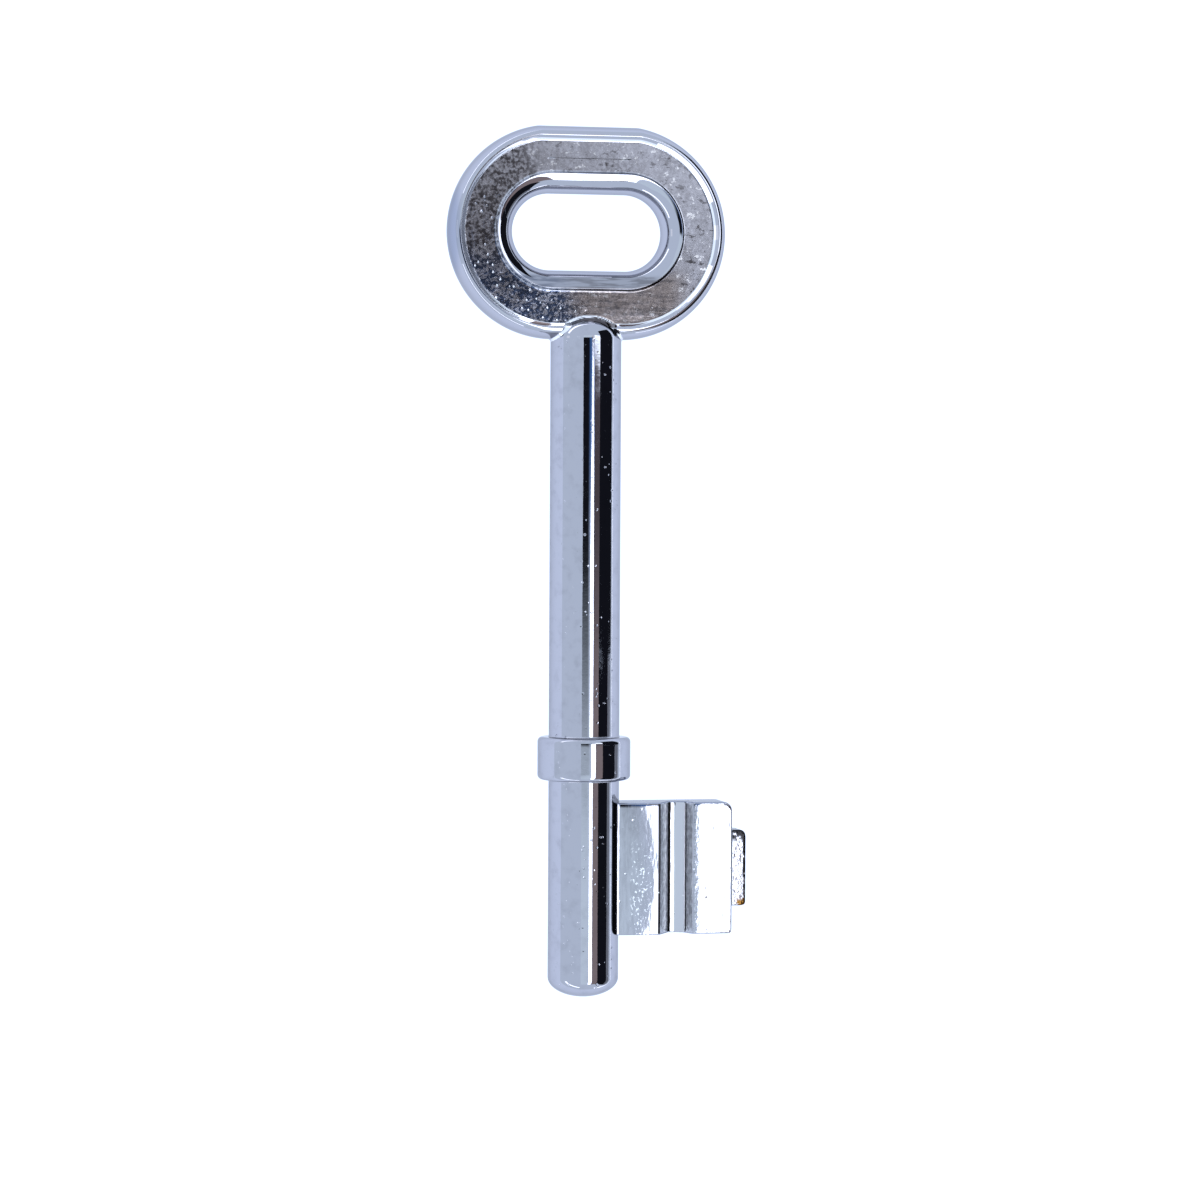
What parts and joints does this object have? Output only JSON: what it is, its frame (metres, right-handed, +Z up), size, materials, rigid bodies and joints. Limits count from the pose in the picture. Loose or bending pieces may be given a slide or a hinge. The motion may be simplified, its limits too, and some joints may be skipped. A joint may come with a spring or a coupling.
{
  "type": "mortise key",
  "caption": "Mortise lock key with an oval bow, round shank, stop collar and a grooved bit with a step.",
  "frame": {"origin": "middle of the underside of the key's bounding box, where the collar touches the surface that the key lies on", "axes": "+Y along the shank from the nose to the bow, +X from the shank towards the bit, +Z up, out of the bow's front face"},
  "size_m": [0.0282, 0.08, 0.0086],
  "materials": {
    "cast_chrome": "bright chromium plate over a slightly rough casting",
    "bright_chrome": "bright chromium plate, smooth, with small pits",
    "bit_chrome": "bright chromium plate with fine marks along the faces"
  },
  "bodies": {
    "root": {"bow": "cast_chrome", "shank": "bright_chrome", "collar": "bright_chrome", "bit": "bit_chrome"}
  },
  "joints": []
}
